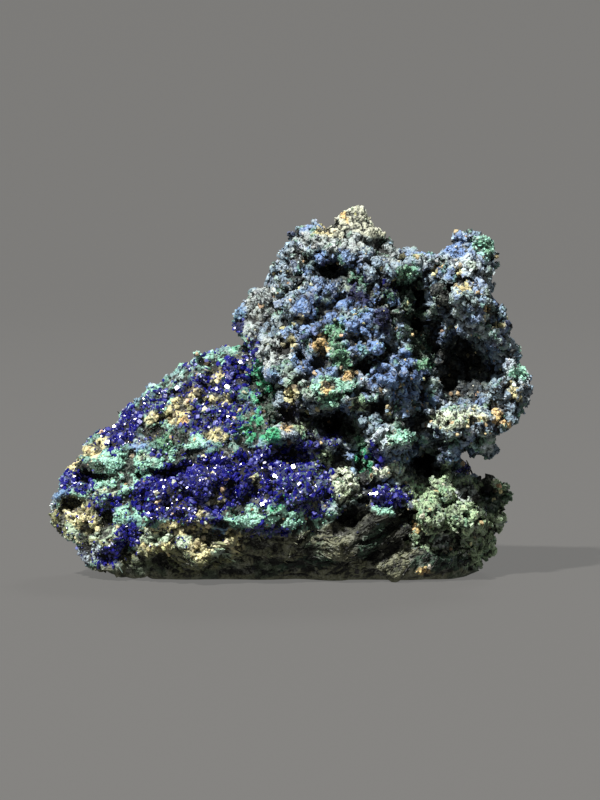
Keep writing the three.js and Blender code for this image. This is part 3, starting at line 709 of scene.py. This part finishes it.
def selectFaces(obj, wanted):  # in edit mode, picks the faces whose middle and normal pass the test
    bpy.ops.mesh.select_all(action="DESELECT")
    bpy.ops.object.mode_set(mode="OBJECT")
    for face in obj.data.polygons:
        face.select = bool(wanted(face.center, face.normal))
    bpy.ops.object.mode_set(mode="EDIT")


def prismShape(sides, radius, flatness, top):  # a prism with a drawn-in end, one unit long
    bpy.ops.object.select_all(action="DESELECT")
    bpy.ops.mesh.primitive_cylinder_add(vertices=sides, radius=radius, depth=0.8, location=(0, 0, 0.4))
    prism = bpy.context.object
    bpy.ops.object.mode_set(mode="EDIT")
    bpy.ops.mesh.select_mode(type="FACE")
    bpy.ops.mesh.select_all(action="SELECT")
    bpy.ops.transform.resize(value=(1, flatness, 1), center_override=(0, 0, 0))
    selectFaces(prism, lambda middle, normal: normal.z > 0.9)
    bpy.ops.mesh.extrude_region_move(TRANSFORM_OT_translate={"value": (0, 0, 0.2)})
    bpy.ops.transform.resize(value=(top[0], top[1], 1), center_override=(0, 0, 1))
    bpy.ops.object.mode_set(mode="OBJECT")
    return takeShape(prism)


def grainShape(roundness, rough, seed):  # a rough grain, one unit across
    bpy.ops.object.select_all(action="DESELECT")
    bpy.ops.mesh.primitive_ico_sphere_add(subdivisions=roundness, radius=0.5, location=(0, 0, 0))
    grain = bpy.context.object
    bpy.ops.object.mode_set(mode="EDIT")
    bpy.ops.mesh.select_all(action="SELECT")
    bpy.ops.transform.vertex_random(offset=rough, uniform=0.8, normal=0.2, seed=seed)
    bpy.ops.object.mode_set(mode="OBJECT")
    return takeShape(grain)


def chipShape(flatness, bevel, rough, seed):  # an angular chip, one unit across
    bpy.ops.object.select_all(action="DESELECT")
    bpy.ops.mesh.primitive_cube_add(size=0.8, location=(0, 0, 0))
    chip = bpy.context.object
    bpy.ops.object.mode_set(mode="EDIT")
    bpy.ops.mesh.select_all(action="SELECT")
    bpy.ops.transform.resize(value=(1, 1, flatness))
    if bevel:
        bpy.ops.mesh.bevel(offset=bevel, segments=1, affect="EDGES")
    if rough:
        bpy.ops.transform.vertex_random(offset=rough, uniform=0.8, normal=0.2, seed=seed)
    bpy.ops.object.mode_set(mode="OBJECT")
    return takeShape(chip)


earths = np.maximum(skin["shares"]["limonite"], skin["shares"]["gold"])
copyColours = {
    "change": 0.16, "gapShade": 0.8, "brightest": 0.85,
    "strewn": ("limonite", "peach", "chalk"), "earthFrom": 0.3,
    "dustyFrom": 0.93, "dusty": 1.7, "blackBelow": 0.1, "black": 0.4,  # which copies, and by how much
}


def colourCopies(piece, spots, shape, strewn, spread, seed):  # each takes the ground's colour, a little changed
    draw = np.random.default_rng(seed)
    face = spots["face"]
    shares = {name: share[face] for name, share in skin["shares"].items()}
    shares["azurite"] = np.zeros(len(face))
    colour = paintGround(shares)
    lighter = spread * (draw.random((len(colour), 1)) - 0.5)
    shift = 1 + lighter + copyColours["change"] * (draw.random(colour.shape) - 0.5)
    if strewn:  # crumbs of earth lying on other ground keep their own colour
        own = np.array([ground[name] for name in copyColours["strewn"]])
        own = own[draw.integers(0, len(own), len(face))]
        colour = np.where(earths[face][:, None] > copyColours["earthFrom"], colour, own)
    else:  # a few are dusty, and a few are nearly black
        pick = draw.random((len(colour), 1))
        black = copyColours["black"] * colour + copyColours["black"] * ground["navy"]
        colour = np.where(pick > copyColours["dustyFrom"], copyColours["dusty"] * colour, colour)
        colour = np.where(pick < copyColours["blackBelow"], black, colour)
    # painted shade: copies lying deep in crevices are darkened
    shade = (1 - copyColours["gapShade"] * skin["gap"][face])[:, None]
    colour = np.clip(colour * shift * shade, 0, copyColours["brightest"])
    keepOnMesh(piece.data, "ore", "FLOAT_COLOR", np.repeat(colour, len(shape[0]), axis=0))


# Pieces that grow on the stone: the grid that they keep to and their sizes in mm, how far small ones outnumber
# large ones (skew), how far they lean, how deep they sink in sizes, how much their brightness varies (spread),
# and the share of their places that they take

growths = {
    "azurite_crystals": {"spacing": 0.72, "size": (0.65, 1.4), "skew": 1.6, "lean": 1.4, "sink": 0.3,
                         "spread": 0, "share": 1, "seed": 101},
    "azurite_seeds": {"spacing": 0.6, "size": (0.35, 0.75), "skew": 1.6, "lean": 1.5, "sink": 0.25,
                      "spread": 0, "share": 1, "seed": 103},
    "slate_lumps": {"spacing": 1.25, "size": (0.6, 1.35), "skew": 1.6, "lean": 0.9, "sink": 0.22,
                    "spread": 0.5, "share": 0.36, "seed": 105},
    "slate_flakes": {"spacing": 0.46, "size": (0.26, 0.6), "skew": 1.6, "lean": 1.1, "sink": 0,
                     "spread": 0.6, "share": 0.5, "seed": 107},
    "malachite_blades": {"spacing": 0.6, "size": (0.45, 0.95), "skew": 1.6, "lean": 1.3, "sink": 0.3,
                         "spread": 0.5, "share": 1, "seed": 109},
    "malachite_beads": {"spacing": 0.9, "size": (0.5, 1), "skew": 1.6, "lean": 0.8, "sink": 0.2,
                        "spread": 0.5, "share": 0.4, "seed": 111},
    "limonite_chips": {"spacing": 0.62, "size": (0.3, 1.1), "skew": 2.4, "lean": 1.2, "sink": 0.05,
                       "spread": 0.8, "share": 1, "seed": 113},
    "rock_crumbs": {"spacing": 0.85, "size": (0.3, 0.9), "skew": 2, "lean": 1.2, "sink": 0.1,
                    "spread": 1, "share": 0.3, "seed": 115},
    "azurite_plates": {"spacing": 0.8, "size": (0.22, 0.9), "skew": 3.8, "lean": 0.3, "sink": -0.4,
                       "spread": 0, "share": 0.26, "seed": 117},
    "rock_fibres": {"spacing": 0.75, "size": (1, 2.6), "skew": 1.2, "lean": 0.6, "sink": 0.2,
                    "spread": 1.2, "share": 0.7, "seed": 119},
}
pieces = {}


def grow(name, shape, cover, strewn=False, facing=None):
    values = growths[name]
    spots = findSpots(cover * values["share"], values["spacing"], values["seed"])
    if facing is not None:
        spots["normal"] = facing[spots["face"]]
    draw = np.random.default_rng(values["seed"] + 1)
    low, high = values["size"]
    sizes = low + (high - low) * draw.random(len(spots["place"])) ** values["skew"]
    piece = copyOnto(name, shape, spots, sizes, values["lean"], values["sink"], values["seed"])
    colourCopies(piece, spots, shape, strewn, values["spread"], values["seed"] + 2)
    print(name + ":", len(sizes), "copies,", len(piece.data.polygons), "faces")
    pieces[name] = piece


def coverOf(*names):
    return np.clip(np.max([skin["shares"][name] for name in names], axis=0), 0, 1)


blue = coverOf("azurite")
raised = 1 - 0.6 * skin["gap"]
onTops = 1 - 0.9 * skin["gap"]
bare = skin["shares"]["rock"]
slope = skin["shares"]["darkMint"] * (1 - bare)
greens = coverOf("mint", "emerald", "fern")
chalky = coverOf("chalk")
offFloor = smooth(skin["a"][:, 2] / mm, 1.5, 3)
dusty = np.clip(1 - slope - bare, 0, 1) * (1 - blue) * (1 - earths)
crystal = prismShape(6, 0.36, 0.62, (0.55, 0.12))
glint = np.tile(np.array((toKey + toCamera).normalized()), (len(blue), 1))
towards = smooth((skin["normal"] * glint).sum(axis=1), 0.4, 0.8)
middleX, middleHeight = stoneBody["foldMiddle"]
fromMiddle = skin["a"] / mm - np.array([middleX, 0, middleHeight])
circling = np.stack([-fromMiddle[:, 2], 0 * fromMiddle[:, 1], fromMiddle[:, 0]], axis=1)
flat = unit(circling - skin["normal"] * (circling * skin["normal"]).sum(axis=1)[:, None])
alongFolds = unit(flat + 0.25 * skin["normal"])  # along the rock's folds and a little off the skin

grow("azurite_crystals", crystal, blue * (1 - 0.3 * skin["gap"]))
grow("azurite_seeds", crystal, (0.75 * blue + 0.2 * slope) * raised)
grow("slate_lumps", chipShape(0.6, 0.1, 0.1, 3), dusty * onTops * (1 - chalky))
grow("slate_flakes", chipShape(0.5, 0, 0.16, 4), dusty * onTops * (1 - 0.7 * chalky))
grow("malachite_blades", prismShape(5, 0.26, 0.8, (0.5, 0.5)),
     (1 - 0.9 * blue) * (1 - earths) * np.maximum(greens, 0.75 * slope) * raised)
grow("malachite_beads", grainShape(1, 0.1, 6), (1 - blue) * greens * (1 - earths))
grow("limonite_chips", grainShape(1, 0.14, 5), np.maximum(0.8 * earths, 0.032 * dusty + 0.035 * slope),
     strewn=True)
grow("rock_crumbs", chipShape(0.7, 0, 0.2, 8), bare * (1 - earths) * raised)
grow("rock_fibres", prismShape(4, 0.055, 0.7, (0.4, 0.4)), bare * (1 - earths) * offFloor, facing=alongFolds)
grow("azurite_plates", chipShape(0.35, 0.06, 0, 0), blue * towards, facing=glint)
print("growths")


# Materials

def newMaterial(name):
    material = bpy.data.materials.new(name)
    material.use_nodes = True
    return material, material.node_tree.nodes, material.node_tree.links


def addNode(nodes, kind, values=None, **settings):
    node = nodes.new(kind)
    for key, value in settings.items():
        setattr(node, key, value)
    for key, value in (values or {}).items():
        node.inputs[key].default_value = value
    return node


def remap(nodes, links, source, given, result):  # a value carried over from one range to another
    node = addNode(nodes, "ShaderNodeMapRange", {"From Min": given[0], "From Max": given[1],
                                                 "To Min": result[0], "To Max": result[1]})
    links.new(source, node.inputs["Value"])
    return node.outputs["Result"]


def mixTo(nodes, links, colour, code, share, blend="MIX"):  # a colour moved towards another by a share
    node = addNode(nodes, "ShaderNodeMix", {"B": (*tone(code), 1)}, data_type="RGBA", blend_type=blend)
    links.new(colour, node.inputs["A"])
    links.new(share, node.inputs["Factor"])
    return node.outputs["Result"]


def speckleGroup():  # a grain of two sizes on the object's own coordinates
    group = bpy.data.node_groups.new("speckle", "ShaderNodeTree")
    for name, start in (("Fine", 2600.0), ("Coarse", 700.0)):
        group.interface.new_socket(name, in_out="INPUT", socket_type="NodeSocketFloat").default_value = start
    for name in ("Mask", "Height"):
        group.interface.new_socket(name, in_out="OUTPUT", socket_type="NodeSocketFloat")
    nodes, links = group.nodes, group.links
    given = nodes.new("NodeGroupInput")
    put = nodes.new("NodeGroupOutput")
    place = nodes.new("ShaderNodeTexCoord")
    fine = addNode(nodes, "ShaderNodeTexNoise", {"Detail": 3.0, "Roughness": 0.6})
    coarse = addNode(nodes, "ShaderNodeTexNoise", {"Detail": 2.0, "Roughness": 0.5})
    cells = addNode(nodes, "ShaderNodeTexVoronoi")
    links.new(given.outputs["Fine"], fine.inputs["Scale"])
    links.new(given.outputs["Coarse"], coarse.inputs["Scale"])
    links.new(given.outputs["Fine"], cells.inputs["Scale"])
    for node in (fine, coarse, cells):
        links.new(place.outputs["Object"], node.inputs["Vector"])
    both = addNode(nodes, "ShaderNodeMath", operation="ADD")
    links.new(fine.outputs["Fac"], both.inputs[0])
    links.new(coarse.outputs["Fac"], both.inputs[1])
    bumps = addNode(nodes, "ShaderNodeMath", operation="SUBTRACT")
    links.new(both.outputs[0], bumps.inputs[0])
    links.new(cells.outputs["Distance"], bumps.inputs[1])
    links.new(remap(nodes, links, both.outputs[0], (0.75, 1.25), (0, 1)), put.inputs["Mask"])
    links.new(bumps.outputs[0], put.inputs["Height"])
    return group


speckle = speckleGroup()
oreRanges = {  # where the speckle turns to dust and to dark flecks, and how grey grounds take the dust
    "dust": (0.5, 1), "fleck": (0.42, 0.1), "grey": (0, 0.1), "greyShare": (0.1, 1), "bumpHeight": 0.2,
}


def oreMaterial(name, values):  # a dusty or earthy crust in the colour kept on the mesh, with painted shade where rise is low
    material, nodes, links = newMaterial(name)
    shader = nodes["Principled BSDF"]
    colour = addNode(nodes, "ShaderNodeAttribute", attribute_name="ore").outputs["Color"]
    rise = addNode(nodes, "ShaderNodeAttribute", attribute_name="rise").outputs["Fac"]
    grain = addNode(nodes, "ShaderNodeGroup", {"Fine": values["fine"], "Coarse": values["coarse"]},
                    node_tree=speckle)
    mask = grain.outputs["Mask"]
    # painted shade: the deep colour is multiplied in as rise falls, in crevices and at the feet of grains
    depth = remap(nodes, links, rise, values["gap"], (values["gapShade"], 0))
    deep = mixTo(nodes, links, colour, values["deep"], depth, "MULTIPLY")
    grey = nodes.new("ShaderNodeRGBToBW")  # dark grounds take little dust
    links.new(colour, grey.inputs["Color"])
    dustiness = remap(nodes, links, mask, oreRanges["dust"], (0, values["dustShare"]))
    paleness = remap(nodes, links, grey.outputs["Val"], oreRanges["grey"], oreRanges["greyShare"])
    dusting = addNode(nodes, "ShaderNodeMath", operation="MULTIPLY")
    links.new(dustiness, dusting.inputs[0])
    links.new(paleness, dusting.inputs[1])
    dusted = mixTo(nodes, links, deep, values["dust"], dusting.outputs[0])
    darkness = remap(nodes, links, mask, oreRanges["fleck"], (0, values["fleckShare"]))
    links.new(mixTo(nodes, links, dusted, values["fleck"], darkness), shader.inputs["Base Color"])
    links.new(remap(nodes, links, mask, (0, 1), values["rough"]), shader.inputs["Roughness"])
    bump = addNode(nodes, "ShaderNodeBump", {"Strength": values["bump"],
                                             "Distance": oreRanges["bumpHeight"] * mm})
    links.new(grain.outputs["Height"], bump.inputs["Height"])
    links.new(bump.outputs["Normal"], shader.inputs["Normal"])
    return material


glassBlue = {
    "shades": ((0.0, "05065a"), (0.4, "100f74"), (0.75, "24228c"), (1.0, "747ab8")),  # one of them per copy
    # foot: the painted shade colour at each crystal's foot, and the rise over which it fades out
    "foot": "04055c", "footShadeReach": (0.7, 0.1), "footShadeShare": 0.85,
    "fine": 5000, "rough": (0.1, 0.34), "ior": 1.75,
}


def azuriteMaterial():  # glossy ultramarine, with painted shade at the foot
    material, nodes, links = newMaterial("azurite_glass_blue")
    shader = nodes["Principled BSDF"]
    tint = addNode(nodes, "ShaderNodeAttribute", attribute_name="tint").outputs["Fac"]
    rise = addNode(nodes, "ShaderNodeAttribute", attribute_name="rise").outputs["Fac"]
    shades = addNode(nodes, "ShaderNodeValToRGB")
    stops = shades.color_ramp.elements
    while len(stops) < len(glassBlue["shades"]):
        stops.new(0.5)
    for stop, (place, code) in zip(stops, glassBlue["shades"]):
        stop.position = place
        stop.color = (*tone(code), 1)
    links.new(tint, shades.inputs["Fac"])
    # painted shade: each crystal's foot turns towards the dark foot colour
    low = remap(nodes, links, rise, glassBlue["footShadeReach"], (0, glassBlue["footShadeShare"]))
    colour = mixTo(nodes, links, shades.outputs["Color"], glassBlue["foot"], low)
    links.new(colour, shader.inputs["Base Color"])
    grain = addNode(nodes, "ShaderNodeGroup", {"Fine": glassBlue["fine"]}, node_tree=speckle)
    dull = remap(nodes, links, grain.outputs["Mask"], (0, 1), glassBlue["rough"])
    links.new(dull, shader.inputs["Roughness"])
    shader.inputs["IOR"].default_value = glassBlue["ior"]
    return material


# deep is the painted shade colour, multiplied in over the gap range of rise, at most by gapShade
finishes = {
    "slate": {"fine": 2400, "coarse": 600, "deep": "2a303c", "gap": (0.1, 0.6), "gapShade": 0.85,
              "dust": "d4dad8", "dustShare": 0.45, "fleck": "161a28", "fleckShare": 0.8,
              "rough": (0.5, 0.9), "bump": 0.6},
    "body": {"fine": 2600, "coarse": 600, "deep": "0c0e10", "gap": (0.25, 0.85), "gapShade": 0.97,
             "dust": "c4c8bc", "dustShare": 0.35, "fleck": "0e100e", "fleckShare": 0.85,
             "rough": (0.6, 0.95), "bump": 0.9},
    "mint": {"fine": 3000, "coarse": 800, "deep": "27574a", "gap": (0.1, 0.8), "gapShade": 0.9,
             "dust": "e2f5ea", "dustShare": 0.35, "fleck": "123a2e", "fleckShare": 0.7,
             "rough": (0.35, 0.7), "bump": 0.5},
    "earth": {"fine": 2600, "coarse": 700, "deep": "4a3a1c", "gap": (0.1, 0.8), "gapShade": 0.7,
              "dust": "efe9d0", "dustShare": 0.4, "fleck": "3a2c16", "fleckShare": 0.7,
              "rough": (0.7, 0.98), "bump": 0.6},
}

azurite = azuriteMaterial()
slate = oreMaterial("slate_dust", finishes["slate"])
body = oreMaterial("ore_body", finishes["body"])
malachite = oreMaterial("malachite_fibre", finishes["mint"])
limonite = oreMaterial("limonite_earth", finishes["earth"])

dress = {
    "azurite_crystals": (azurite, "azurite_crystal"), "azurite_seeds": (azurite, "azurite_crystal"),
    "azurite_plates": (azurite, "azurite_crystal"), "slate_lumps": (slate, "copper_ore"),
    "slate_flakes": (slate, "copper_ore"), "rock_crumbs": (body, "copper_ore"),
    "rock_fibres": (body, "copper_ore"),
    "malachite_blades": (malachite, "malachite_crust"), "malachite_beads": (malachite, "malachite_crust"),
    "limonite_chips": (limonite, "limonite_grain"),
}
for name, (material, slot) in dress.items():
    piece = pieces[name]
    piece.data.materials.append(material)
    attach(piece, "root")
stone.data.materials.append(body)
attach(stone, "root")
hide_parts("azurite_specimen")
print("materials")
